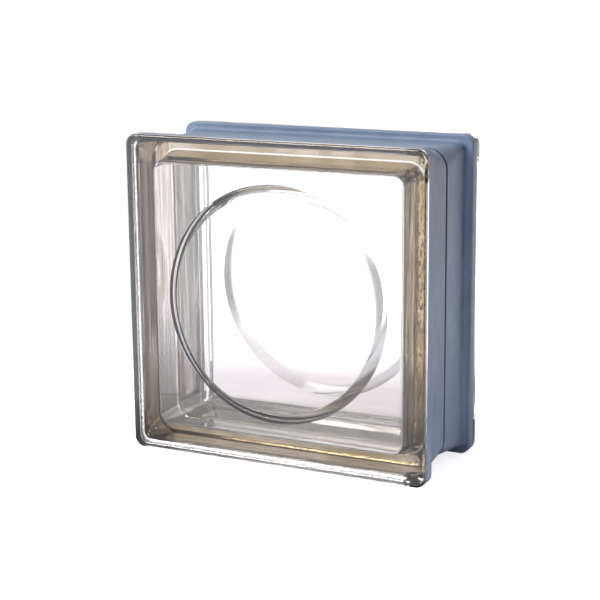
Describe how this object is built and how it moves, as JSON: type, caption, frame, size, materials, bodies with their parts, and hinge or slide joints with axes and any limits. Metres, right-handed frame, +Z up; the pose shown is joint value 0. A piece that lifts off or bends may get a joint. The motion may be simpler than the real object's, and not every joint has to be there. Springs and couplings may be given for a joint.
{
  "type": "glass block",
  "caption": "Square hollow glass block with a round dished relief inside each face and a painted mortar channel round its edge.",
  "frame": {"origin": "middle of the block's footprint, on the floor it stands on", "axes": "+X along the width, +Z up the height, and -Y out of the front face; the block stands on one edge as in a wall"},
  "size_m": [0.19, 0.08, 0.19],
  "materials": {
    "clear_glass": "polished",
    "edge_paint": "satin"
  },
  "bodies": {
    "root": {"front_shell": "clear_glass", "rear_shell": "clear_glass", "edge_coating": "edge_paint"}
  },
  "joints": []
}
